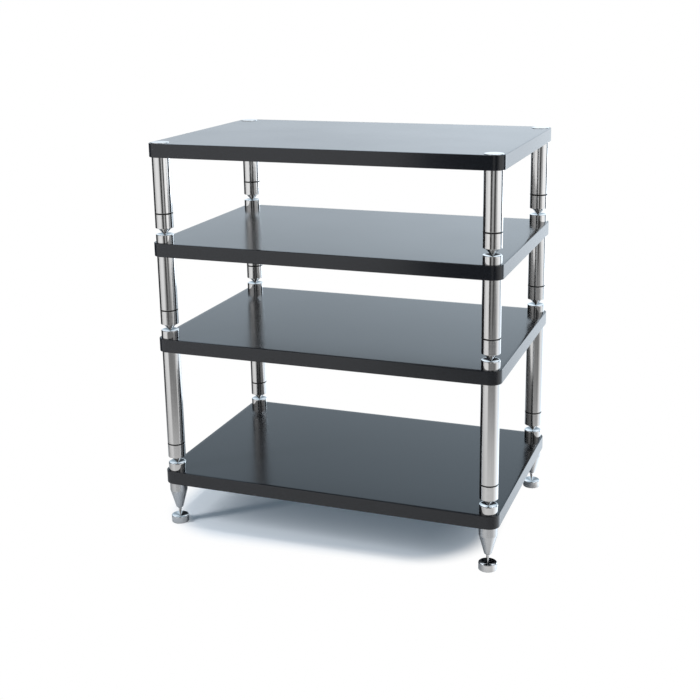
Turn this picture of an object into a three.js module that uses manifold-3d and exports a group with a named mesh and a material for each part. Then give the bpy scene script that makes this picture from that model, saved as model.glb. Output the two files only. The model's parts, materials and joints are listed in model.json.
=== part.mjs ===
// An audio equipment rack of four black boards on steel columns.
//
// Each of the three upper boards, with the four columns under it, is a tier of its own that stands
// on spikes in the dished cups of the tier below. The bottom board stands on tapered feet, whose
// threaded floor spikes rest in dished pads. Millimetres, +Z up, the floor at z = 0 and the origin
// on the floor under the middle of the rack. The front faces -Y.

import * as THREE from 'three';
import { mergeVertices } from 'three/addons/utils/BufferGeometryUtils.js';
import Module from 'manifold-3d';

// Boards
const boardWidth = 650;
const boardDepth = 416;
const boardThickness = 25;
const boardCornerRadius = 20;
const boardEdgeRound = 1;

// Clear height of each bay, from one board's top face to the next board's underside
const topBay = 156;
const middleBay = 156;
const lowBay = 238;

// Columns, and how far their axes stand in from the boards' edges
const columnDiameter = 33;
const columnInsetX = 20.5;
const columnInsetY = 20;
const columnEdge = 0.5;

// Studs that hold a tier together, and the drilled holes that they pass through
const studDiameter = 8;
const studEngagement = 15;
const boreClearance = 0.3;

// Shallow round seats cut into the boards' top faces, in which the cups and caps stand
const seatDepth = 0.5;

// Spike under each column: a stud, a rubber ring in its groove, a plain length, and a cone that
// stands in from the plain length by a flat shoulder
const spikeStudLength = 20;
const ringHeight = 2;
const ringRecess = 0.4;
const grooveDepth = 0.9;
const spikePlainLength = 26.25;
const spikeShoulderWidth = 3.25;
const spikeConeHeight = 15;

// Receiving cup on each lower board, with a conical dish for the spike's point
const cupHeight = 14.5;
const cupRim = 0.5;
const cupDishDepth = 3.25;

// Clearance between a spike's point and the bottom of its dish
const pointClearance = 0.25;

// Cap on the top board over each column
const capHeight = 2;
const capEdge = 0.75;

// Tapered foot under each corner of the bottom board
const footPlainLength = 17.5;
const footTaperLength = 34.5;
const footTipDiameter = 12.5;
const footNoseLength = 2;
const footNoseWall = 0.7;

// Threaded floor spike in each foot
const floorSpikeReach = 20.25;
const floorSpikeConeLength = 21.5;
const floorSpikeShankLength = 30;
const floorSpikeEdge = 0.75;

// Dished floor pad under each floor spike
const padDiameter = 33;
const padHeight = 13;
const padEdge = 0.75;
const padRim = 0.5;
const padDishDepth = 4;

// How finely the curves are divided
const turningSides = 18;
const cornerSides = 8;
const quarterTurn = Math.PI / 2;

// Sizes that follow from those above
const columnRadius = columnDiameter / 2;
const studRadius = studDiameter / 2;
const boreRadius = studRadius + boreClearance;
const seatRadius = columnRadius + boreClearance;
const spikeHeight = ringHeight + spikePlainLength + spikeConeHeight;
const cupSeat = cupHeight - cupDishDepth + pointClearance;
const padSeat = padHeight - padDishDepth + pointClearance;
const footLength = footPlainLength + footTaperLength + footNoseLength;
const columnX = boardWidth / 2 - columnInsetX;
const columnY = boardDepth / 2 - columnInsetY;

// Levels of the boards' undersides above the floor
const bottomLevel = padSeat + floorSpikeReach + footLength;
const lowerLevel = bottomLevel + boardThickness + lowBay;
const upperLevel = lowerLevel + boardThickness + middleBay;
const topLevel = upperLevel + boardThickness + topBay;

const wasm = await Module();
wasm.setup();

const boardFinish = { color: 0x1b1d20, roughness: 0.28, metalness: 0 };
const steelFinish = { color: 0xc9cdd1, roughness: 0.22, metalness: 1 };
const polishedFinish = { color: 0xd8dbde, roughness: 0.12, metalness: 1 };

const rack = new THREE.Group();

function place(parent, name, geometry, finish, x, y, z) {
  const mesh = new THREE.Mesh(geometry, new THREE.MeshStandardMaterial(finish));
  mesh.name = name;
  mesh.position.set(x, y, z);
  parent.add(mesh);
}

// Turns a profile of [radius, height] points about the vertical axis, from its foot up
function turn(profile) {
  const points = profile.map(([radius, height]) => new THREE.Vector2(radius, height));
  return new THREE.LatheGeometry(points, turningSides).rotateX(quarterTurn);
}

// Turns a profile that stays clear of the axis and closes on itself, such as a bored column
function turnHollow(profile) {
  return turn([...profile, profile[0]]);
}

function toSolid(geometry) {
  const bare = geometry.clone();
  bare.deleteAttribute('normal');
  bare.deleteAttribute('uv');
  const merged = mergeVertices(bare);
  return new wasm.Manifold(new wasm.Mesh({
    numProp: 3,
    vertProperties: new Float32Array(merged.attributes.position.array),
    triVerts: new Uint32Array(merged.index.array),
  }));
}

function toGeometry(solid) {
  const mesh = solid.getMesh();
  const geometry = new THREE.BufferGeometry();
  geometry.setAttribute('position', new THREE.BufferAttribute(mesh.vertProperties, mesh.numProp));
  geometry.setIndex(new THREE.BufferAttribute(mesh.triVerts, 1));
  geometry.computeVertexNormals();
  return geometry;
}

const corners = [
  ['front_left', -columnX, -columnY],
  ['front_right', columnX, -columnY],
  ['back_left', -columnX, columnY],
  ['back_right', columnX, columnY],
];

// A board: a rounded rectangle with softened edges. At each corner it is drilled for the stud and
// has a shallow seat for the cup or cap
function boardShape() {
  const outline = new THREE.Shape();
  const centreX = boardWidth / 2 - boardCornerRadius;
  const centreY = boardDepth / 2 - boardCornerRadius;
  outline.absarc(centreX, -centreY, boardCornerRadius, -quarterTurn, 0);
  outline.absarc(centreX, centreY, boardCornerRadius, 0, quarterTurn);
  outline.absarc(-centreX, centreY, boardCornerRadius, quarterTurn, 2 * quarterTurn);
  outline.absarc(-centreX, -centreY, boardCornerRadius, 2 * quarterTurn, 3 * quarterTurn);
  const slab = new THREE.ExtrudeGeometry(outline, {
    depth: boardThickness - 2 * boardEdgeRound,
    curveSegments: cornerSides,
    bevelThickness: boardEdgeRound,
    bevelSize: boardEdgeRound,
    bevelOffset: -boardEdgeRound,
    bevelSegments: 1,
  });
  slab.translate(0, 0, boardEdgeRound);
  let solid = toSolid(slab);
  for (const [, x, y] of corners) {
    const drill = new THREE.CylinderGeometry(boreRadius, boreRadius, 2 * boardThickness, turningSides);
    drill.rotateX(quarterTurn);
    drill.translate(x, y, boardThickness / 2);
    const seat = new THREE.CylinderGeometry(seatRadius, seatRadius, 2 * seatDepth, turningSides);
    seat.rotateX(quarterTurn);
    seat.translate(x, y, boardThickness);
    solid = solid.subtract(toSolid(drill)).subtract(toSolid(seat));
  }
  return toGeometry(solid);
}

// A column: a bar bored through for the studs, with the edge of its lower end broken
function columnShape(length) {
  return turnHollow([
    [boreRadius, 0],
    [columnRadius - columnEdge, 0],
    [columnRadius, columnEdge],
    [columnRadius, length],
    [boreRadius, length],
  ]);
}

// A spike, from its point up: cone, shoulder, plain length, rubber ring in its groove, and stud
const spikeGrooveFoot = spikeConeHeight + spikePlainLength;
const spikeShape = turn([
  [0, 0],
  [columnRadius - spikeShoulderWidth, spikeConeHeight],
  [columnRadius, spikeConeHeight],
  [columnRadius, spikeGrooveFoot],
  [columnRadius - grooveDepth, spikeGrooveFoot],
  [columnRadius - ringRecess, spikeGrooveFoot + ringHeight / 2],
  [columnRadius - grooveDepth, spikeHeight],
  [studRadius, spikeHeight],
  [studRadius, spikeHeight + spikeStudLength],
  [0, spikeHeight + spikeStudLength],
]);

// A cup, from the foot of its stud up: the stud through the board, and the dished cylinder
const throughStud = boardThickness + studEngagement;
const cupShape = turn([
  [0, -throughStud],
  [studRadius, -throughStud],
  [studRadius, -seatDepth],
  [columnRadius, -seatDepth],
  [columnRadius, cupHeight - cupRim],
  [columnRadius - cupRim, cupHeight],
  [0, cupHeight - cupDishDepth],
]);

// A cap: a low disc with a softened edge, on a stud through the top board
const capShape = turn([
  [0, -throughStud],
  [studRadius, -throughStud],
  [studRadius, -seatDepth],
  [columnRadius, -seatDepth],
  [columnRadius, capHeight - capEdge],
  [columnRadius - capEdge, capHeight],
  [0, capHeight],
]);

// A foot, from its nose up: bored for the floor spike, tapered, then plain under the board
const footShape = turnHollow([
  [boreRadius, 0],
  [boreRadius + footNoseWall, 0],
  [footTipDiameter / 2, footNoseLength],
  [columnRadius, footNoseLength + footTaperLength],
  [columnRadius, footLength],
  [boreRadius, footLength],
]);

// A floor spike, from its point up: a long cone, then the shank that screws into the foot
const floorSpikeLength = floorSpikeConeLength + floorSpikeShankLength;
const floorSpikeShape = turn([
  [0, 0],
  [studRadius, floorSpikeConeLength],
  [studRadius, floorSpikeLength - floorSpikeEdge],
  [studRadius - floorSpikeEdge, floorSpikeLength],
  [0, floorSpikeLength],
]);

// A floor pad: a low cylinder with a conical dish for the floor spike's point
const padRadius = padDiameter / 2;
const padShape = turn([
  [0, 0],
  [padRadius - padEdge, 0],
  [padRadius, padEdge],
  [padRadius, padHeight - padRim],
  [padRadius - padRim, padHeight],
  [0, padHeight - padDishDepth],
]);

// Every tier has a board. Those that carry another tier have cups on it, and the upper three
// stand on columns that reach down through the bay below to their spikes
const tiers = [
  { name: 'bottom', level: bottomLevel, bay: 0 },
  { name: 'lower', level: lowerLevel, bay: lowBay },
  { name: 'upper', level: upperLevel, bay: middleBay },
  { name: 'top', level: topLevel, bay: topBay },
];

for (const { name, level, bay } of tiers) {
  const tier = new THREE.Group();
  tier.position.z = level;
  rack.add(tier);
  place(tier, `${name}_shelf`, boardShape(), boardFinish, 0, 0, 0);
  for (const [corner, x, y] of corners) {
    if (level === topLevel) {
      place(tier, `cap_${corner}`, capShape, steelFinish, x, y, boardThickness);
    } else {
      place(tier, `${name}_cup_${corner}`, cupShape, steelFinish, x, y, boardThickness);
    }
    if (bay > 0) {
      const spikePoint = cupSeat - bay;
      const columnLength = bay - cupSeat - spikeHeight;
      place(tier, `${name}_column_${corner}`, columnShape(columnLength), steelFinish, x, y, -columnLength);
      place(tier, `${name}_spike_${corner}`, spikeShape, steelFinish, x, y, spikePoint);
    }
  }
}

for (const [corner, x, y] of corners) {
  place(rack, `foot_${corner}`, footShape, steelFinish, x, y, bottomLevel - footLength);
  place(rack, `floor_spike_${corner}`, floorSpikeShape, steelFinish, x, y, padSeat);
  place(rack, `pad_${corner}`, padShape, polishedFinish, x, y, 0);
}

export default rack;
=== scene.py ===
# %% [markdown]
# # An audio equipment rack
# Four black boards stand one above another on bright steel columns. Every column ends in a cone
# that stands in a small dished cup, so each tier can be lifted off and levelled. The whole rack
# stands on spikes in round steel pads. This file dresses the engineering model of the rack: it
# keeps the place and the main sizes of every piece, and makes fine shapes, materials and light.

import json
import math

import bmesh
import bpy
from mathutils import Matrix, Vector


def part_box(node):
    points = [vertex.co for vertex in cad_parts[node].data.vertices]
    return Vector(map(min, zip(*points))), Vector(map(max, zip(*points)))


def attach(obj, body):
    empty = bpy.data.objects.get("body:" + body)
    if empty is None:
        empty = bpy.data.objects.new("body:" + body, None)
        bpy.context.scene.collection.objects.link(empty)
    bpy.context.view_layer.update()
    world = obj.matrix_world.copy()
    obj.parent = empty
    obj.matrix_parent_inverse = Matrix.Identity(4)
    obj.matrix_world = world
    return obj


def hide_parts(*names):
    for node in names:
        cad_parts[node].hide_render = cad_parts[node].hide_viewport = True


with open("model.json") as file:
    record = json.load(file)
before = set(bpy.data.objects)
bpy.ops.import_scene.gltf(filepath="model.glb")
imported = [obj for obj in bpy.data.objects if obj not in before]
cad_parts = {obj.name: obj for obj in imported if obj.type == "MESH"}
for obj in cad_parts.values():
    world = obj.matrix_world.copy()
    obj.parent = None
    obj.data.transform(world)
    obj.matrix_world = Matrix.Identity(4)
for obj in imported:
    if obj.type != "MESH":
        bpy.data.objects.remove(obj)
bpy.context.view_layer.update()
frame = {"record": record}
scene = bpy.context.scene

# %% [markdown]
# The frame says which body each piece moves with. Lengths of the rack are written in millimetres, as on a
# maker's drawing, and MM turns them into Blender's metres. The studio round it is given in metres.

# %% Bodies and shared sizes
MM = 0.001
COLUMN_RADIUS = 16.5
STUD_RADIUS = 4
CORNERS = ("front_left", "front_right", "back_left", "back_right")

body_of = {}
for body, nodes in frame["record"]["behaviour"]["bodies"].items():
    for node in nodes:
        body_of[node] = body

# %% [markdown]
# ## Camera
# The photograph was taken from the front right, a little above the top board, with a slightly
# long lens. Its place, aim and lens were worked out from the edges of the boards and columns.
# The lens is shifted down a little, which keeps the columns nearly parallel. The three angles
# are in radians.

# %% Camera
FOCAL_LENGTH = 59.786
SENSOR_WIDTH = 36
LENS_SHIFT = (-0.0007, -0.0893)
CAMERA_PLACE = (0.73692, -2.01669, 0.98926)
YAW = 0.35718
PITCH = -0.24904
ROLL = -0.01508

camera = bpy.data.objects.new("camera", bpy.data.cameras.new("camera"))
scene.collection.objects.link(camera)
scene.camera = camera
camera.data.lens = FOCAL_LENGTH
camera.data.sensor_width = SENSOR_WIDTH
camera.data.shift_x, camera.data.shift_y = LENS_SHIFT

ahead = Vector((-math.sin(YAW) * math.cos(PITCH), math.cos(YAW) * math.cos(PITCH), math.sin(PITCH)))
level = Vector((math.cos(YAW), math.sin(YAW), 0))
upright = level.cross(ahead)
right = math.cos(ROLL) * level + math.sin(ROLL) * upright
above = math.cos(ROLL) * upright - math.sin(ROLL) * level
aim = Matrix((right, above, -ahead)).transposed()
camera.matrix_world = Matrix.Translation(CAMERA_PLACE) @ aim.to_4x4()
print("lens of", round(FOCAL_LENGTH), "mm, looking down by", round(math.degrees(-PITCH), 1), "degrees")

# %% [markdown]
# ## Helpers for materials
# A colour picked on a screen is stored in sRGB, and Blender's shaders want linear light, so one
# function converts it. Another adds a node, with its settings, and with values or links for its
# inputs. A third starts an empty material.

# %% Colour and node helpers
def linear(hex_colour):
    """A screen colour such as '1a1b1d' as linear light."""
    parts = [int(hex_colour[i:i + 2], 16) / 255 for i in (0, 2, 4)]
    return (*[c / 12.92 if c <= 0.04045 else ((c + 0.055) / 1.055) ** 2.4 for c in parts], 1)


def add_node(tree, kind, settings=None, inputs=None):
    """A new node. Each input is named or numbered, and takes a value or another node's output."""
    node = tree.nodes.new(kind)
    for key, value in (settings or {}).items():
        setattr(node, key, value)
    for key, value in (inputs or {}).items():
        if isinstance(value, bpy.types.NodeSocket):
            tree.links.new(value, node.inputs[key])
        else:
            node.inputs[key].default_value = value
    return node


def new_material(name):
    material = bpy.data.materials.new(name)
    material.use_nodes = True
    material.node_tree.nodes.clear()
    return material, material.node_tree


print("the screen's middle grey is", round(linear("808080")[0], 3), "of white in linear light")

# %% [markdown]
# ## Satin black lacquer
# The boards are fibreboard, sprayed with black lacquer and rubbed to a satin. To the eye it is
# nearly black from in front, and a grey mirror when seen flat, because every clear lacquer
# reflects more at a low angle. That comes by itself from its index of refraction, 1.5. Sprayed
# lacquer has a faint orange peel, drawn here as shallow bumps 3 mm across, and its gloss varies
# a little over some 150 mm.

# %% Satin black lacquer
LACQUER_COLOUR = "17191d"
PEEL_WIDTH = 3
PEEL_DEPTH = 0.05
GLOSS_PATCH = 150


def make_satin_black_lacquer():
    material, tree = new_material("satin_black_lacquer")
    place = add_node(tree, "ShaderNodeTexCoord").outputs["Object"]
    peel = add_node(tree, "ShaderNodeTexNoise", None, {"Vector": place, "Scale": 1 / (PEEL_WIDTH * MM)})
    bumps = add_node(tree, "ShaderNodeBump", None,
                     {"Strength": 0.04, "Distance": PEEL_DEPTH * MM, "Height": peel.outputs["Fac"]})
    haze = add_node(tree, "ShaderNodeTexNoise", None, {"Vector": place, "Scale": 1 / (GLOSS_PATCH * MM)})
    gloss = add_node(tree, "ShaderNodeMapRange", None, {"Value": haze.outputs["Fac"], "From Min": 0.3,
                     "From Max": 0.7, "To Min": 0.17, "To Max": 0.19})
    surface = add_node(tree, "ShaderNodeBsdfPrincipled", None, {"Base Color": linear(LACQUER_COLOUR),
                       "IOR": 1.5, "Roughness": gloss.outputs["Result"], "Normal": bumps.outputs["Normal"]})
    add_node(tree, "ShaderNodeOutputMaterial", None, {"Surface": surface.outputs["BSDF"]})
    return material


satin_black_lacquer = make_satin_black_lacquer()
print("made", satin_black_lacquer.name)

# %% [markdown]
# ## Stainless steel
# All the metal is stainless steel bar, turned on a lathe. A turning tool leaves fine rings round the work,
# and drawing the bar leaves fine lines along it. The pieces carry a UV map for that: U runs round the piece
# and V along its profile, both in metres. The real marks are 0.1 mm apart, too fine to show, so they are
# drawn faint and 1.5 mm wide, the lines 150 mm long and the rings 60 mm. Steel takes its looks from what it
# mirrors, so its colour is a plain light grey, and the marks blur and streak the reflections. The columns are
# drawn bar. Spikes, threads and caps are left as turned, cups, floor points and pads are polished, and the
# feet are ground to a rougher finish. The feet's steel is also given a darker grey, which is painted shade:
# they stand low, in the shade under the bottom board.

# %% Stainless steel finishes
LINES_ALONG = (1.5 * MM, 150 * MM, 1)
RINGS_ROUND = (60 * MM, 1.5 * MM, 1)
MARK_DEPTH = 0.06
BRIGHT_STEEL = "d9d9d9"
# A darker grey for the feet, which is painted shade for where they stand, low under the bottom board.
SHADED_STEEL = "c6c8ca"


def make_stainless_steel(name, colour, least_roughness, most_roughness, line_share):
    """line_share is how much of the marks run along the bar. The rest run round it."""
    material, tree = new_material(name)
    uv = add_node(tree, "ShaderNodeUVMap", {"uv_map": "turning"}).outputs["UV"]
    marks = []
    for size, share in ((LINES_ALONG, line_share), (RINGS_ROUND, 1 - line_share)):
        stretched = add_node(tree, "ShaderNodeVectorMath", {"operation": "DIVIDE"}, {0: uv, 1: size})
        noise = add_node(tree, "ShaderNodeTexNoise", {"noise_dimensions": "2D"},
                         {"Vector": stretched.outputs["Vector"], "Scale": 1.0})
        mark = add_node(tree, "ShaderNodeMath", {"operation": "MULTIPLY"},
                        {0: noise.outputs["Fac"], 1: share})
        marks.append(mark.outputs[0])
    scored = add_node(tree, "ShaderNodeMath", {"operation": "ADD"}, {0: marks[0], 1: marks[1]}).outputs[0]
    gloss = add_node(tree, "ShaderNodeMapRange", None, {"Value": scored, "From Min": 0.35, "From Max": 0.65,
                     "To Min": least_roughness, "To Max": most_roughness})
    bumps = add_node(tree, "ShaderNodeBump", None,
                     {"Strength": 0.5, "Distance": MARK_DEPTH * MM, "Height": scored})
    surface = add_node(tree, "ShaderNodeBsdfPrincipled", None, {"Base Color": linear(colour), "Metallic": 1.0,
                       "Roughness": gloss.outputs["Result"], "Normal": bumps.outputs["Normal"]})
    add_node(tree, "ShaderNodeOutputMaterial", None, {"Surface": surface.outputs["BSDF"]})
    return material


drawn_stainless = make_stainless_steel("drawn_stainless", BRIGHT_STEEL, 0.09, 0.17, 0.85)
turned_stainless = make_stainless_steel("turned_stainless", BRIGHT_STEEL, 0.09, 0.17, 0.5)
polished_stainless = make_stainless_steel("polished_stainless", BRIGHT_STEEL, 0.04, 0.1, 0.6)
# The feet: a rougher ground finish, and a darker grey that is painted shade.
ground_and_shaded_stainless = make_stainless_steel("ground_and_shaded_stainless", SHADED_STEEL, 0.16, 0.3, 0.95)
print("made", drawn_stainless.name, turned_stainless.name, polished_stainless.name, ground_and_shaded_stainless.name)

# %% [markdown]
# ## Black rubber
# The rings between columns and spikes are nitrile rubber, moulded, so they are matt and black
# with a faint grain of some 0.3 mm.

# %% Black nitrile rubber
RUBBER_COLOUR = "0a0a0b"
GRAIN_WIDTH = 0.3
GRAIN_DEPTH = 0.02


def make_nitrile_rubber():
    material, tree = new_material("nitrile_rubber")
    place = add_node(tree, "ShaderNodeTexCoord").outputs["Object"]
    grain = add_node(tree, "ShaderNodeTexNoise", None, {"Vector": place, "Scale": 1 / (GRAIN_WIDTH * MM)})
    gloss = add_node(tree, "ShaderNodeMapRange", None, {"Value": grain.outputs["Fac"], "From Min": 0.3,
                     "From Max": 0.7, "To Min": 0.5, "To Max": 0.65})
    bumps = add_node(tree, "ShaderNodeBump", None,
                     {"Strength": 0.1, "Distance": GRAIN_DEPTH * MM, "Height": grain.outputs["Fac"]})
    surface = add_node(tree, "ShaderNodeBsdfPrincipled", None, {"Base Color": linear(RUBBER_COLOUR),
                       "IOR": 1.52, "Roughness": gloss.outputs["Result"], "Normal": bumps.outputs["Normal"]})
    add_node(tree, "ShaderNodeOutputMaterial", None, {"Surface": surface.outputs["BSDF"]})
    return material


nitrile_rubber = make_nitrile_rubber()
print("made", nitrile_rubber.name)

# %% [markdown]
# ## Finishing a piece
# Every new piece rides on the body of the node that it stands for, so that it moves with it. Its
# place is in its mesh, and its object stays at the origin. Faces are shaded smooth, with a crisp
# break only where two of them meet at more than 35 degrees.

# %% Finish a piece and put it on its body
CRISP_ANGLE = math.radians(35)


def finish_piece(bm, name, material):
    mesh = bpy.data.meshes.new(name)
    bm.to_mesh(mesh)
    bm.free()
    mesh.materials.append(material)
    mesh.shade_smooth()
    mesh.set_sharp_from_angle(angle=CRISP_ANGLE)
    piece = bpy.data.objects.new(name, mesh)
    scene.collection.objects.link(piece)
    return piece


def ride_with(piece, node, stands_in=True):
    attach(piece, body_of[node])
    if stands_in:
        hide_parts(node)


def foot_centre(node):
    """The middle of the node's underside, where a turned piece has its axis."""
    low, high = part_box(node)
    return Vector(((low.x + high.x) / 2, (low.y + high.y) / 2, low.z))


print("the front left pad stands at", [round(c, 4) for c in foot_centre("pad_front_left")])

# %% [markdown]
# ## Boards
# A board is a sheet of fibreboard with its corners rounded on a router, its edges eased, and a
# shallow round seat at each corner for the cup or cap. A cube with a bevel would still need its
# seats cut. Instead the top face is filled between its rounded outline and four circles, and then
# the outline is pulled down into the sides and each circle into its seat. Smooth shading blends
# the eased edges into the faces beside them, so a narrow strip is kept along each edge, and the
# blend stays within it. The flat faces then mirror as flat ones do.

# %% Shape a board
BOARD_CORNER_RADIUS = 20
BOARD_EDGE_ROUND = 1
EDGE_STRIP = 1.8
SEAT_CLEARANCE = 0.3
SEAT_RADIUS = COLUMN_RADIUS + SEAT_CLEARANCE
SEAT_DEPTH = 0.5


def edges_among(bm, points):
    return [edge for edge in bm.edges if all(v in points for v in edge.verts)]


def pull(bm, edges, drop):
    """Extrudes a loop of edges straight down and returns the edges of its far end."""
    pulled = bmesh.ops.extrude_edge_only(bm, edges=edges)["geom"]
    far = [item for item in pulled if isinstance(item, bmesh.types.BMVert)]
    bmesh.ops.translate(bm, verts=far, vec=(0, 0, -drop))
    return edges_among(bm, set(far))


def make_board(name, node, seats):
    low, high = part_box(node)
    bm = bmesh.new()
    sheet = bmesh.ops.create_grid(bm, x_segments=1, y_segments=1, size=0.5)["verts"]
    bmesh.ops.scale(bm, verts=sheet, vec=(high.x - low.x, high.y - low.y, 1))
    bmesh.ops.translate(bm, verts=sheet, vec=((low.x + high.x) / 2, (low.y + high.y) / 2, high.z))
    bmesh.ops.bevel(bm, geom=sheet, affect="VERTICES", offset=BOARD_CORNER_RADIUS * MM, offset_type="OFFSET",
                    segments=14, profile=0.5, material=-1)
    outline = list(bm.edges)
    bmesh.ops.inset_region(bm, faces=list(bm.faces), thickness=EDGE_STRIP * MM, use_even_offset=True)
    middle = max(bm.faces, key=lambda face: face.calc_area())
    inner_outline = list(middle.edges)
    bmesh.ops.delete(bm, geom=[middle], context="FACES_ONLY")
    circles = []
    for seat in seats:
        ring = bmesh.ops.create_circle(bm, cap_ends=False, segments=64, radius=SEAT_RADIUS * MM)["verts"]
        bmesh.ops.translate(bm, verts=ring, vec=(seat.x, seat.y, high.z))
        circles.append(edges_among(bm, set(ring)))
    bmesh.ops.triangle_fill(bm, use_beauty=True, edges=inner_outline + sum(circles, []), normal=(0, 0, 1))
    for circle in circles:
        bmesh.ops.contextual_create(bm, geom=pull(bm, circle, SEAT_DEPTH * MM))
    upper_strip = pull(bm, outline, EDGE_STRIP * MM)
    lower_strip = pull(bm, upper_strip, high.z - low.z - 2 * EDGE_STRIP * MM)
    underside = pull(bm, lower_strip, EDGE_STRIP * MM)
    closing = bmesh.ops.contextual_create(bm, geom=underside)["faces"]
    bmesh.ops.inset_region(bm, faces=closing, thickness=EDGE_STRIP * MM, use_even_offset=True)
    bmesh.ops.recalc_face_normals(bm, faces=list(bm.faces))
    bmesh.ops.bevel(bm, geom=outline + underside, affect="EDGES", offset=BOARD_EDGE_ROUND * MM,
                    offset_type="OFFSET", segments=4, profile=0.5, clamp_overlap=True, material=-1)
    board = finish_piece(bm, name, satin_black_lacquer)
    ride_with(board, node)
    return board


print("seats", round(2 * SEAT_RADIUS, 1), "mm wide and", SEAT_DEPTH, "mm deep")

# %% [markdown]
# The lower three boards carry cups and the top one carries caps. The seats lie under them.

# %% Model the four boards
for tier in ("bottom", "lower", "upper", "top"):
    stands_on_it = "cap_{}" if tier == "top" else tier + "_cup_{}"
    seats = [foot_centre(stands_on_it.format(corner)) for corner in CORNERS]
    board = make_board(f"{tier}_board", f"{tier}_shelf", seats)
    print(board.name, len(board.data.polygons), "faces")

# %% [markdown]
# ## Turned pieces
# Columns, spikes, cups, caps, feet and pads are all turned, so one function spins a profile about
# its axis. After the spin, every crisp ring is given a small round with a bevel, because a turned
# edge is always broken a little, and that edge is what catches the light. An edge counts as part
# of a ring when it lies level and away from the axis, and its faces meet at more than 24 degrees.

# %% Spin a profile and break its edges
SPIN_STEPS = 72
SAME_PLACE = 0.001 * MM
AXIS_RADIUS = 0.5 * MM
RING_ANGLE = math.radians(24)


def spin_round(bm, geometry):
    bmesh.ops.spin(bm, geom=geometry, cent=(0, 0, 0), axis=(0, 0, 1), angle=2 * math.pi, steps=SPIN_STEPS,
                   use_merge=True, use_duplicate=False)
    bmesh.ops.remove_doubles(bm, verts=list(bm.verts), dist=SAME_PLACE)
    bmesh.ops.dissolve_degenerate(bm, edges=list(bm.edges), dist=SAME_PLACE)
    bmesh.ops.recalc_face_normals(bm, faces=list(bm.faces))


def break_edges(bm, width):
    """Gives every crisp ring a small round."""
    rings = []
    for edge in bm.edges:
        one, other = edge.verts
        is_level = abs(one.co.z - other.co.z) < SAME_PLACE
        if is_level and one.co.xy.length > AXIS_RADIUS and edge.calc_face_angle(0) > RING_ANGLE:
            rings.append(edge)
    bmesh.ops.bevel(bm, geom=rings, affect="EDGES", offset=width * MM, offset_type="OFFSET",
                    segments=3, profile=0.5, clamp_overlap=True, material=-1)


print("spun in steps of", 360 / SPIN_STEPS, "degrees")

# %% [markdown]
# The UV map carries the turning marks. Each point of a profile remembers how far along it lies,
# and that becomes V. U is the angle times the column's radius. A face across the seam has angles
# near both ends of the circle, so the low ones go up by a whole turn.

# %% Unwrap a turned piece
def unwrap_turning(bm):
    """U runs round the piece, and V along its profile, in metres."""
    along = bm.verts.layers.float["along"]
    uv = bm.loops.layers.uv.new("turning")
    for face in bm.faces:
        angles = [math.atan2(loop.vert.co.y, loop.vert.co.x) for loop in face.loops]
        for loop, angle in zip(face.loops, angles):
            if max(angles) - angle > math.pi:
                angle += 2 * math.pi
            loop[uv].uv = (angle * COLUMN_RADIUS * MM, loop.vert[along])


print("once round a column is", round(2 * math.pi * COLUMN_RADIUS, 1), "mm of U")

# %% [markdown]
# A profile is a list of radius and height, in millimetres. As on the boards, an extra point close
# to each end of a line keeps the smooth shading of the round within a narrow strip, 1.7 times as
# wide as the round.

# %% Make a turned piece
STRIP_TO_ROUND = 1.7
LARGEST_SHARE = 0.4


def with_strips(profile, width):
    """Adds two points near the ends of each line, where a strip takes a small enough share of it."""
    marked = []
    for start, end in zip(profile, profile[1:]):
        start, end = Vector(start), Vector(end)
        share = width / (end - start).length
        marked.append(start)
        if share < LARGEST_SHARE:
            marked.extend((start.lerp(end, share), start.lerp(end, 1 - share)))
    return [*marked, Vector(profile[-1])]


def make_turned(name, node, profile, material, closed=False, edge=0.25):
    """A piece turned to the profile. A bored one is closed from its last point to its first."""
    bm = bmesh.new()
    along = bm.verts.layers.float.new("along")
    points = []
    length = 0.0
    for radius, height in with_strips(profile, STRIP_TO_ROUND * edge):
        point = bm.verts.new((radius * MM, 0, height * MM))
        length += (point.co - points[-1].co).length if points else 0
        point[along] = length
        points.append(point)
    pairs = list(zip(points, points[1:]))
    if closed:
        pairs.append((points[-1], points[0]))
    lines = [bm.edges.new(pair) for pair in pairs]
    spin_round(bm, points + lines)
    break_edges(bm, edge)
    unwrap_turning(bm)
    bmesh.ops.translate(bm, verts=list(bm.verts), vec=foot_centre(node))
    ride_with(finish_piece(bm, name, material), node)


print("a line of 10 mm gets", len(with_strips([(0, 0), (0, 10)], 0.5)), "points")

# %% [markdown]
# ## Columns
# A column is a thick bar, bored for the studs. Its upper end meets the board and its lower end
# the rubber ring of the spike. A plain cylinder would look much the same, but it would have no
# bore, so the column is turned from a profile that closes on itself.

# %% Model the columns
BORE_RADIUS = 4.3

for tier in ("lower", "upper", "top"):
    for corner in CORNERS:
        node = f"{tier}_column_{corner}"
        low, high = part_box(node)
        length = (high.z - low.z) / MM
        profile = [(BORE_RADIUS, 0), (COLUMN_RADIUS, 0), (COLUMN_RADIUS, length), (BORE_RADIUS, length)]
        make_turned(f"{node}_bar", node, profile, drawn_stainless, closed=True, edge=0.2)
    print(tier, "columns", round(length, 2), "mm long")

# %% [markdown]
# ## Threads
# Each spike screws into its column, and each floor spike into its foot. Grooves drawn with bump
# would do while a thread is hidden, but it comes out when a tier is levelled, and then it shows
# in outline. So it is one zigzag profile that climbs by one pitch as it is spun, and its start
# meets its end one turn higher. The zigzag is longer than the thread. Its ragged ends are cut off
# square with two planes and closed.

# %% Cut a thread
THREAD_PITCH = 1.25
THREAD_DEPTH = 0.75
THREAD_STEPS = 36
SPARE_TURNS = 2
SEAM_GAP = 0.02 * MM
CUT_GAP = 0.01 * MM
# Shares of the pitch, each with its depth below the crest
ZIGZAG = ((0, 0), (0.125, 0), (0.5, THREAD_DEPTH), (0.625, THREAD_DEPTH))


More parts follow.
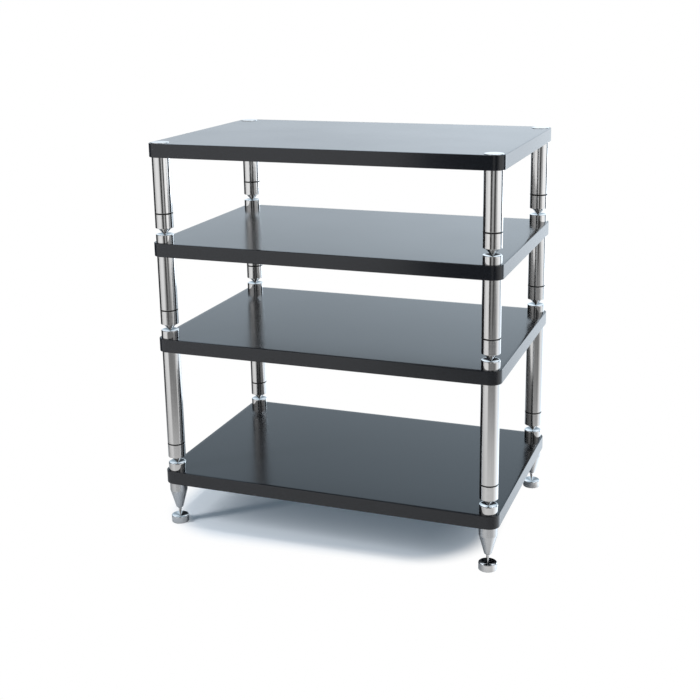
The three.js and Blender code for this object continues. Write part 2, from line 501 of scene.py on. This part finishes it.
def make_thread(name, node, start, end):
    """A thread between two heights above the node's foot."""
    bm = bmesh.new()
    points = []
    turn = -SPARE_TURNS
    while start + turn * THREAD_PITCH < end + THREAD_PITCH:
        for share, depth in ZIGZAG:
            height = start + (turn + share) * THREAD_PITCH
            points.append(bm.verts.new(((STUD_RADIUS - depth) * MM, 0, height * MM)))
        turn += 1
    lines = [bm.edges.new(pair) for pair in zip(points, points[1:])]
    bmesh.ops.spin(bm, geom=points + lines, cent=(0, 0, 0), axis=(0, 0, 1), angle=2 * math.pi,
                   dvec=(0, 0, THREAD_PITCH * MM / THREAD_STEPS), steps=THREAD_STEPS, use_merge=False,
                   use_duplicate=False)
    bmesh.ops.remove_doubles(bm, verts=list(bm.verts), dist=SEAM_GAP)
    for height, facing in ((start * MM, -1), (end * MM, 1)):
        bmesh.ops.bisect_plane(bm, geom=[*bm.verts, *bm.edges, *bm.faces], plane_co=(0, 0, height),
                               plane_no=(0, 0, facing), clear_outer=True)
        rim = [line for line in bm.edges if line.is_boundary
               and all(abs(v.co.z - height) < CUT_GAP for v in line.verts)]
        bmesh.ops.contextual_create(bm, geom=rim)
    bmesh.ops.recalc_face_normals(bm, faces=list(bm.faces))
    along = bm.verts.layers.float.new("along")
    for vert in bm.verts:
        vert[along] = vert.co.z
    unwrap_turning(bm)
    bmesh.ops.translate(bm, verts=list(bm.verts), vec=foot_centre(node))
    ride_with(finish_piece(bm, name, turned_stainless), node, stands_in=False)


print("threads of", THREAD_PITCH, "mm pitch")

# %% [markdown]
# ## Rubber rings
# The ring between a column and its spike keeps the joint tight and shows as a thin black line. It
# is a moulded ring with rounded edges, so its section is a small square with its corners rounded,
# spun round the axis. It is a little lower than its groove. In the engineering model the groove
# is 2 mm high. Here it reaches 0.6 mm further down, so that the line shows as it does in the
# photograph. The twelve rings are pieces of their own.

# %% Mould a rubber ring
NECK_FOOT = 40.65
RING_GROOVE = 2.6
RING_FILL = 0.96
RING_CORNER = 0.25
RING_INNER_RADIUS = 14.4
NECK_TOP = NECK_FOOT + RING_GROOVE


def make_rubber_ring(name, node):
    bm = bmesh.new()
    section = bmesh.ops.create_grid(bm, x_segments=1, y_segments=1, size=0.5)["verts"]
    wide = COLUMN_RADIUS - RING_INNER_RADIUS
    bmesh.ops.scale(bm, verts=section, vec=(wide * MM, RING_FILL * RING_GROOVE * MM, 1))
    bmesh.ops.bevel(bm, geom=section, affect="VERTICES", offset=RING_CORNER * MM, offset_type="OFFSET",
                    segments=3, profile=0.5, material=-1)
    bmesh.ops.delete(bm, geom=list(bm.faces), context="FACES_ONLY")
    bmesh.ops.rotate(bm, verts=list(bm.verts), cent=(0, 0, 0), matrix=Matrix.Rotation(math.pi / 2, 3, "X"))
    middle = ((RING_INNER_RADIUS + wide / 2) * MM, 0, (NECK_FOOT + RING_GROOVE / 2) * MM)
    bmesh.ops.translate(bm, verts=list(bm.verts), vec=middle)
    spin_round(bm, [*bm.verts, *bm.edges])
    bmesh.ops.translate(bm, verts=list(bm.verts), vec=foot_centre(node))
    ring = finish_piece(bm, name, nitrile_rubber)
    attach(ring, body_of[node])


print("rings", round(RING_FILL * RING_GROOVE, 2), "mm high")

# %% [markdown]
# ## Spikes
# A spike is one turning: a cone, a narrow shoulder, a plain length as thick as the column, and
# above it a neck that carries the rubber ring. A cone and two cylinders could be joined, but one
# profile gives one closed skin. The thread starts inside the neck.

# %% Model the spikes and rings
CONE_HEIGHT = 15
CONE_RADIUS = 13.25
NECK_END = NECK_TOP - 0.1
THREAD_FOOT = NECK_TOP - 0.5
SPIKE_TOP = 63.25
SPIKE = [(0, 0), (CONE_RADIUS, CONE_HEIGHT), (COLUMN_RADIUS, CONE_HEIGHT), (COLUMN_RADIUS, NECK_FOOT),
         (RING_INNER_RADIUS, NECK_FOOT), (RING_INNER_RADIUS, NECK_END), (0, NECK_END)]

for tier in ("lower", "upper", "top"):
    for corner in CORNERS:
        node = f"{tier}_spike_{corner}"
        make_turned(f"{node}_cone", node, SPIKE, turned_stainless, edge=0.2)
        make_thread(f"{node}_thread", node, THREAD_FOOT, SPIKE_TOP)
        make_rubber_ring(f"{tier}_ring_{corner}", node)
    print(tier, "spikes and rings")

# %% [markdown]
# ## Cups and caps
# A cup is a short cylinder with a wide, shallow conical dish inside a narrow rounded lip, and the
# lip is what shows most. A dish could be cut with a boolean, but in a turned profile it is only
# one more line. The stud goes down through the board and clamps the cup to the column or foot
# below. A cap is the same stud under a thin disc on the top board, where nothing stands on it. In
# the photograph the caps look nearly flush, so they stand only 0.8 mm above the board, and not
# 2 mm as in the engineering model. Heights are measured from the foot of the stud.

# %% Model the cups and caps
BOARD_TOP = 40
CUP_HEIGHT = 14.5
CAP_HEIGHT = 0.8
SEATED = BOARD_TOP - SEAT_DEPTH
TIP_WIDTH = 0.6
TIP_HEIGHT = 0.8
CUP_RIM = BOARD_TOP + CUP_HEIGHT
LIP_ROUND = 1
LIP_WIDTH = 2.2
DISH_DEPTH = 3.25
CAP_TOP = BOARD_TOP + CAP_HEIGHT
CAP_EDGE = 0.4
# How far in and down from a square corner the middle of its round lies, as a share of the round
MIDDLE_OF_ROUND = 0.3
LIP_MIDDLE = MIDDLE_OF_ROUND * LIP_ROUND
STUD = [(0, 0), (STUD_RADIUS - TIP_WIDTH, 0), (STUD_RADIUS, TIP_HEIGHT), (STUD_RADIUS, SEATED),
        (COLUMN_RADIUS, SEATED)]
CUP = STUD + [(COLUMN_RADIUS, CUP_RIM - LIP_ROUND), (COLUMN_RADIUS - LIP_MIDDLE, CUP_RIM - LIP_MIDDLE),
              (COLUMN_RADIUS - LIP_ROUND, CUP_RIM), (COLUMN_RADIUS - LIP_WIDTH, CUP_RIM),
              (0, CUP_RIM - DISH_DEPTH)]
CAP = STUD + [(COLUMN_RADIUS, CAP_TOP - CAP_EDGE), (COLUMN_RADIUS - CAP_EDGE, CAP_TOP), (0, CAP_TOP)]

for tier in ("bottom", "lower", "upper"):
    for corner in CORNERS:
        make_turned(f"{tier}_dished_cup_{corner}", f"{tier}_cup_{corner}", CUP, polished_stainless, edge=0.15)
for corner in CORNERS:
    make_turned(f"disc_cap_{corner}", f"cap_{corner}", CAP, turned_stainless)
print("12 cups and 4 caps")

# %% [markdown]
# ## Feet, floor spikes and pads
# A foot is a bar that tapers to a nose as wide as a finger. A floor spike screws up into it, and
# its long point stands in the polished dish of a round pad, which saves the floor. A real point
# is never quite sharp, so this one ends in a blunt cone 0.7 mm wide.

# %% Shape the feet, floor spikes and pads
NOSE_RADIUS = 6.7
NOSE_EDGE = 0.5
NOSE_HEIGHT = 0.8
TAPER_TOP = 36.5
FOOT_TOP = 54
FOOT = [(BORE_RADIUS, 0), (NOSE_RADIUS - NOSE_EDGE, 0), (NOSE_RADIUS, NOSE_HEIGHT),
        (COLUMN_RADIUS, TAPER_TOP), (COLUMN_RADIUS, FOOT_TOP), (BORE_RADIUS, FOOT_TOP)]

BLUNT_RADIUS = 0.35
BLUNT_HEIGHT = 0.6
POINT_HEIGHT = 21.5
POINT_TOP = POINT_HEIGHT + 1
FLOOR_THREAD_FOOT = POINT_HEIGHT + 0.5
SHANK_TOP = 51.5
POINT = [(0, 0), (BLUNT_RADIUS, BLUNT_HEIGHT), (STUD_RADIUS, POINT_HEIGHT), (STUD_RADIUS, POINT_TOP),
         (0, POINT_TOP)]

PAD_RIM = 13
PAD_EDGE = 0.75
PAD_RIM_EDGE = 0.5
PAD_LIP = 0.9
PAD_DISH_FLOOR = PAD_RIM - 4
DIMPLE_RADIUS = 1.5
DIMPLE_DEPTH = 0.1
PAD = [(0, 0), (COLUMN_RADIUS - PAD_EDGE, 0), (COLUMN_RADIUS, PAD_EDGE),
       (COLUMN_RADIUS, PAD_RIM - PAD_RIM_EDGE), (COLUMN_RADIUS - PAD_RIM_EDGE, PAD_RIM),
       (COLUMN_RADIUS - PAD_LIP, PAD_RIM),
       (DIMPLE_RADIUS, PAD_DISH_FLOOR + DIMPLE_DEPTH), (0, PAD_DISH_FLOOR)]
print("feet of", FOOT_TOP, "mm and pads of", PAD_RIM, "mm")

# %% [markdown]
# The same four pieces stand one in another at every corner of the rack.

# %% Model the feet, floor spikes and pads
for corner in CORNERS:
    make_turned(f"tapered_foot_{corner}", f"foot_{corner}", FOOT, ground_and_shaded_stainless, closed=True, edge=0.35)
    make_turned(f"floor_point_{corner}", f"floor_spike_{corner}", POINT, polished_stainless, edge=0.1)
    make_thread(f"floor_thread_{corner}", f"floor_spike_{corner}", FLOOR_THREAD_FOOT, SHANK_TOP)
    make_turned(f"dished_pad_{corner}", f"pad_{corner}", PAD, polished_stainless, edge=0.2)
print("4 feet with their floor spikes and pads")

# %% [markdown]
# ## Floor
# The rack stands on a white studio floor, a large disc that takes its shadow. A photographer
# lights such a floor until it burns out to pure white all round, and only the shadow under the
# rack stays. In the photograph that shadow is a light blue grey, so the camera sees a faint blue
# glow added to the paint. Mirrors see the paint a little darker.

# %% Floor
FLOOR_RADIUS = 3.2
PAINT = (0.95, 0.95, 0.95, 1)
MIRRORED_PAINT = (0.68, 0.68, 0.68, 1)
SHADOW_BLUE = (0.7, 0.95, 1.2, 1)
SHADOW_GLOW = 0.1
WHITE = (1, 1, 1, 1)

bm = bmesh.new()
bmesh.ops.create_circle(bm, cap_ends=True, segments=128, radius=FLOOR_RADIUS)
white_floor, tree = new_material("white_floor")
finish_piece(bm, "floor", white_floor)

path = add_node(tree, "ShaderNodeLightPath")
paint_colour = add_node(tree, "ShaderNodeMix", {"data_type": "RGBA"},
                        {0: path.outputs["Is Glossy Ray"], 6: PAINT, 7: MIRRORED_PAINT})
paint = add_node(tree, "ShaderNodeBsdfDiffuse", None, {"Color": paint_colour.outputs[2]})
lift = add_node(tree, "ShaderNodeMath", {"operation": "MULTIPLY"},
                {0: path.outputs["Is Camera Ray"], 1: SHADOW_GLOW})
glow = add_node(tree, "ShaderNodeEmission", None, {"Color": SHADOW_BLUE, "Strength": lift.outputs[0]})
lit = add_node(tree, "ShaderNodeAddShader", None, {0: paint.outputs[0], 1: glow.outputs[0]})
white = add_node(tree, "ShaderNodeEmission", None, {"Color": WHITE, "Strength": 1.0})
clear = add_node(tree, "ShaderNodeBsdfTransparent")
print("floor", FLOOR_RADIUS, "m in radius")

# %% [markdown]
# The shade lies under the boards, a little to the left and turned by 4 degrees. Its core is a
# rectangle, given by half its sides. A few vector nodes work out how far a point of the floor
# lies outside the core: they move the point to the core's own axes, fold the four quarters into
# one, and take off the half sides. The length that is left is the distance.

# %% How far a point of the floor lies outside the shade
SHADE_MIDDLE = (-0.04, 0, 0)
SHADE_CORE = (0.17, 0.08, 0)
SHADE_TURN = math.radians(4)

spot = add_node(tree, "ShaderNodeTexCoord").outputs["Object"]
moved = add_node(tree, "ShaderNodeVectorMath", {"operation": "SUBTRACT"}, {0: spot, 1: SHADE_MIDDLE})
aligned = add_node(tree, "ShaderNodeVectorRotate", {"rotation_type": "Z_AXIS"},
                   {"Vector": moved.outputs["Vector"], "Angle": -SHADE_TURN})
folded = add_node(tree, "ShaderNodeVectorMath", {"operation": "ABSOLUTE"}, {0: aligned.outputs["Vector"]})
beside = add_node(tree, "ShaderNodeVectorMath", {"operation": "SUBTRACT"},
                  {0: folded.outputs["Vector"], 1: SHADE_CORE})
away = add_node(tree, "ShaderNodeVectorMath", {"operation": "MAXIMUM"},
                {0: beside.outputs["Vector"], 1: (0, 0, 0)})
outside = add_node(tree, "ShaderNodeVectorMath", {"operation": "LENGTH"}, {0: away.outputs["Vector"]})
print("the shade's core is", [2 * side for side in SHADE_CORE[:2]], "m")

# %% [markdown]
# Outside the shade the floor fades away. For the camera it turns to pure white from 110 to 165 mm
# outside the core, so that the floor's edge doesn't show. For what mirrors it, it turns clear
# from 175 to 245 mm, and the studio shows there.

# %% Fade the floor
CAMERA_FADE = (0.11, 0.165)
MIRROR_FADE = (0.175, 0.245)
FADES = (("Is Camera Ray", CAMERA_FADE, white), ("Is Glossy Ray", MIRROR_FADE, clear))

last = lit
for seen_by, (near, far), beyond in FADES:
    distance = add_node(tree, "ShaderNodeMapRange", {"interpolation_type": "SMOOTHSTEP"},
                        {"Value": outside.outputs["Value"], "From Min": near, "From Max": far})
    share = add_node(tree, "ShaderNodeMath", {"operation": "MULTIPLY"},
                     {0: distance.outputs["Result"], 1: path.outputs[seen_by]})
    last = add_node(tree, "ShaderNodeMixShader", None,
                    {0: share.outputs[0], 1: last.outputs[0], 2: beyond.outputs[0]})
add_node(tree, "ShaderNodeOutputMaterial", None, {"Surface": last.outputs[0]})
print("the floor is gone for the camera", CAMERA_FADE[1], "m outside the core")

# %% [markdown]
# ## Studio
# The background is white. What the steel and the lacquer mirror is a bright studio with dark
# parts, as a photographer arranges them to draw dark lines down the columns. It is drawn as three
# rings round the compass, 0 degrees towards the front and 90 towards the rack's right: the walls,
# the far floor below them, and the near floor. Each ring is a list of stops, a compass angle and
# a brightness, where 1 is white. The brightest wall, at the back right, lights the right sides of
# the boards, and the two dark ones draw the dark edges of the columns. The last list goes from
# straight down to straight up. It dims the studio with height, up to some 45 degrees, so that the
# lower boards, which mirror higher parts of it, look darker than the upper ones.

# %% Rings of the studio
WALLS = [(-180, 1.4), (-166, 1.32), (-157, 1.1), (-143, 1.06), (-138, 0.05), (-80, 0.05), (-76, 1.1),
         (-72, 1.1), (-69, 0.65), (-65, 0.65), (-60, 0.95), (-40, 1.1), (-8, 1.05), (2, 0.55), (55, 0.55),
         (62, 1.32), (103, 1.32), (106, 1.5), (112, 1.5), (116, 0.05), (142, 0.05), (146, 4.5), (155, 4.5),
         (164, 1.9), (172, 1.7), (180, 1.4)]
FAR_FLOOR = [(-180, 1.1), (-143, 1.0), (-138, 0.05), (-80, 0.05), (-76, 1.1), (-72, 1.1), (-69, 0.65),
             (-65, 0.65), (-60, 0.95), (-20, 0.95), (-8, 0.21), (66, 0.21), (95, 1.1), (140, 1.1), (156, 1.7),
             (172, 1.7), (180, 1.1)]
NEAR_FLOOR = [(-180, 0.9), (-138, 0.6), (-80, 0.5), (-20, 0.8), (66, 0.7), (95, 1.1), (140, 1.7), (160, 1.7),
              (172, 1.7), (180, 0.9)]
UPWARD = [(-90, 1.0), (8, 0.95), (12, 1.08), (17, 0.83), (24, 0.62), (29, 0.62), (35, 0.36), (46, 0.36),
          (60, 1.0), (90, 1.0)]
BRIGHTEST = 4.5
print("studio of", len(WALLS) + len(FAR_FLOOR) + len(NEAR_FLOOR), "stops")

# %% [markdown]
# A colour ramp holds such a list well: its stops are placed from 0 to 1 and blended between. Each
# brightness is divided by the brightest, which keeps the ramp's colours from 0 to 1 too, and the
# strength of the background multiplies it back.

# %% Ramps and mixes
def ramp_of(tree, angle, stops, span, brightest):
    """Brightness along an angle from -span to span degrees."""
    share = add_node(tree, "ShaderNodeMapRange", None, {"Value": angle, "From Min": -math.radians(span),
                     "From Max": math.radians(span)})
    ramp = add_node(tree, "ShaderNodeValToRGB", None, {"Fac": share.outputs["Result"]})
    band = ramp.color_ramp
    band.elements.remove(band.elements[-1])
    for index, (degrees, brightness) in enumerate(stops):
        stop = band.elements.new((degrees + span) / (2 * span)) if index else band.elements[0]
        stop.color = (*[brightness / brightest] * 3, 1)
    return ramp.outputs["Color"]


def mixed(tree, blend, share, one, other):
    node = add_node(tree, "ShaderNodeMix", {"data_type": "RGBA", "blend_type": blend},
                    {0: share, 6: one, 7: other})
    return node.outputs[2]


print("a white wall is", round(1 / BRIGHTEST, 3), "on the ramp")

# %% [markdown]
# The direction of a ray gives a compass angle and a rise above the horizon. Between two rises
# each ring is blended into the one above it.

# %% Build the studio
FAR_FLOOR_RISE = (-24, -18)
WALLS_RISE = (-16, -10)

world = bpy.data.worlds.new("studio")
scene.world = world
world.use_nodes = True
tree = world.node_tree
tree.nodes.clear()
direction = add_node(tree, "ShaderNodeTexCoord").outputs["Generated"]
axes = add_node(tree, "ShaderNodeSeparateXYZ", None, {"Vector": direction})
frontward = add_node(tree, "ShaderNodeMath", {"operation": "MULTIPLY"}, {0: axes.outputs["Y"], 1: -1.0})
compass = add_node(tree, "ShaderNodeMath", {"operation": "ARCTAN2"},
                   {0: axes.outputs["X"], 1: frontward.outputs[0]}).outputs[0]
rise = add_node(tree, "ShaderNodeMath", {"operation": "ARCSINE"}, {0: axes.outputs["Z"]}).outputs[0]

light = ramp_of(tree, compass, NEAR_FLOOR, 180, BRIGHTEST)
for ring, (from_rise, to_rise) in ((FAR_FLOOR, FAR_FLOOR_RISE), (WALLS, WALLS_RISE)):
    rising = add_node(tree, "ShaderNodeMapRange", {"interpolation_type": "SMOOTHSTEP"},
                      {"Value": rise, "From Min": math.radians(from_rise), "From Max": math.radians(to_rise)})
    light = mixed(tree, "MIX", rising.outputs["Result"], light, ramp_of(tree, compass, ring, 180, BRIGHTEST))
light = mixed(tree, "MULTIPLY", 1.0, light, ramp_of(tree, rise, UPWARD, 90, 1.0))
print("studio of", len(tree.nodes), "nodes")

# %% [markdown]
# The back of the studio is a little blue, and bluer higher up, which tints the boards' top faces.
# The camera sees pure white. Mirrors see the rings, and matt surfaces see an even bluish light, so
# that the shadow under the rack is blue too.

# %% Who sees what
LOW_BLUE = (0.91, 1.0, 1.09, 1)
HIGH_BLUE = (0.8, 1.0, 1.17, 1)
SOFT_BLUE = (0.74, 0.95, 1.16, 1)
SOFT_LEVEL = 0.22

backward = add_node(tree, "ShaderNodeMapRange", None,
                    {"Value": axes.outputs["Y"], "From Min": 0.0, "From Max": 0.6})
upward = add_node(tree, "ShaderNodeMapRange", None,
                  {"Value": axes.outputs["Z"], "From Min": 0.1, "From Max": 0.45})
blue = mixed(tree, "MIX", upward.outputs["Result"], LOW_BLUE, HIGH_BLUE)
tint = mixed(tree, "MIX", backward.outputs["Result"], WHITE, blue)
light = mixed(tree, "MULTIPLY", 1.0, light, tint)
mirrored = add_node(tree, "ShaderNodeBackground", None, {"Color": light, "Strength": BRIGHTEST})
white = add_node(tree, "ShaderNodeBackground", None, {"Color": WHITE, "Strength": 1.0})
soft = add_node(tree, "ShaderNodeBackground", None, {"Color": SOFT_BLUE, "Strength": SOFT_LEVEL})
path = add_node(tree, "ShaderNodeLightPath")
by_mirrors = add_node(tree, "ShaderNodeMath", {"operation": "MAXIMUM"},
                      {0: path.outputs["Is Glossy Ray"], 1: path.outputs["Is Transmission Ray"]})
seen = add_node(tree, "ShaderNodeMixShader", None,
                {0: by_mirrors.outputs[0], 1: soft.outputs[0], 2: mirrored.outputs[0]})
seen = add_node(tree, "ShaderNodeMixShader", None,
                {0: path.outputs["Is Camera Ray"], 1: seen.outputs[0], 2: white.outputs[0]})
add_node(tree, "ShaderNodeOutputWorld", None, {"Surface": seen.outputs[0]})
print("matt surfaces get", SOFT_LEVEL, "of white from all round")

# %% [markdown]
# Two black flags stand on either side of the camera's line, about 1.3 m in front of the rack, and draw the
# two dark lines down the middle of each column. Only mirrors see them, so they are painted reflections. They
# are not lit. Each glows faintly, at 0.05 to 0.08 of white, which is painted light standing for the little
# light that black velvet sends back. The glow varies in patches some 40 mm across, as velvet's nap lies a
# little differently from patch to patch.

# %% Black flags
FLAG_DISTANCE = 1.55
FLAG_HEIGHT = 2.0
FLAGS = (("left_flag", -0.19, 0.33), ("right_flag", 0.86, 1.6))
GLOW_PATCH = 40

# The flags' velvet is a faint painted glow, 0.05 to 0.08 of white in patches, which draws dark reflections.
# It is not a lit cloth.
velvet_glow, tree = new_material("velvet_glow")
place = add_node(tree, "ShaderNodeTexCoord").outputs["Object"]
glow_patches = add_node(tree, "ShaderNodeTexNoise", None, {"Vector": place, "Scale": 1 / (GLOW_PATCH * MM)})
glow_level = add_node(tree, "ShaderNodeMapRange", None,
               {"Value": glow_patches.outputs["Fac"], "To Min": 0.05, "To Max": 0.08})
faint = add_node(tree, "ShaderNodeEmission", None, {"Strength": glow_level.outputs["Result"]})
add_node(tree, "ShaderNodeOutputMaterial", None, {"Surface": faint.outputs[0]})

for name, left, right in FLAGS:
    bm = bmesh.new()
    sheet = bmesh.ops.create_grid(bm, x_segments=1, y_segments=1, size=0.5)["verts"]
    bmesh.ops.scale(bm, verts=sheet, vec=(right - left, FLAG_HEIGHT, 1))
    bmesh.ops.rotate(bm, verts=sheet, cent=(0, 0, 0), matrix=Matrix.Rotation(math.pi / 2, 3, "X"))
    bmesh.ops.translate(bm, verts=sheet, vec=((left + right) / 2, -FLAG_DISTANCE, FLAG_HEIGHT / 2))
    flag = finish_piece(bm, name, velvet_glow)
    flag.visible_camera = False
    flag.visible_diffuse = False
    flag.visible_shadow = False
    flag.visible_transmission = False
    print(name, round(right - left, 2), "m wide")

# %% [markdown]
# A tall strip box on the left reaches under the boards and draws the slanting shadow of the front
# left foot. A soft box high overhead throws the rack's shadow straight down, and one on the right
# fills in. Each is given as the brightness that it alone gives a white card at the rack. Their
# light is a little cold, as a flash is. Mirrors see the rings of the studio and not these lamps.

# %% Soft boxes
AIMED_AT = Vector((0, 0, 0.1))
FLASH_COLOUR = (0.94, 0.98, 1.03)


def hang_soft_box(name, place, width, height, level):
    lamp = bpy.data.lights.new(name, "AREA")
    lamp.shape = "RECTANGLE"
    lamp.size = width
    lamp.size_y = height
    lamp.color = FLASH_COLOUR
    toward = AIMED_AT - Vector(place)
    lamp.energy = level * (math.pi * toward.length) ** 2
    box = bpy.data.objects.new(name, lamp)
    scene.collection.objects.link(box)
    box.matrix_world = Matrix.Translation(place) @ toward.to_track_quat("-Z", "Y").to_matrix().to_4x4()
    box.visible_camera = False
    box.visible_glossy = False
    print(name, round(lamp.energy), "W")


hang_soft_box("left_strip_box", (-1.69, -1.41, 1.3), width=0.22, height=1.9, level=0.66)
hang_soft_box("overhead_soft_box", (0, 0, 4.5), width=1.0, height=0.6, level=0.6)
hang_soft_box("right_soft_box", (1.8, -0.3, 1.2), width=0.5, height=0.5, level=0.14)

# %% [markdown]
# ## Look
# The Standard view shows a colour as it is written.

# %% Look
scene.view_settings.view_transform = "Standard"
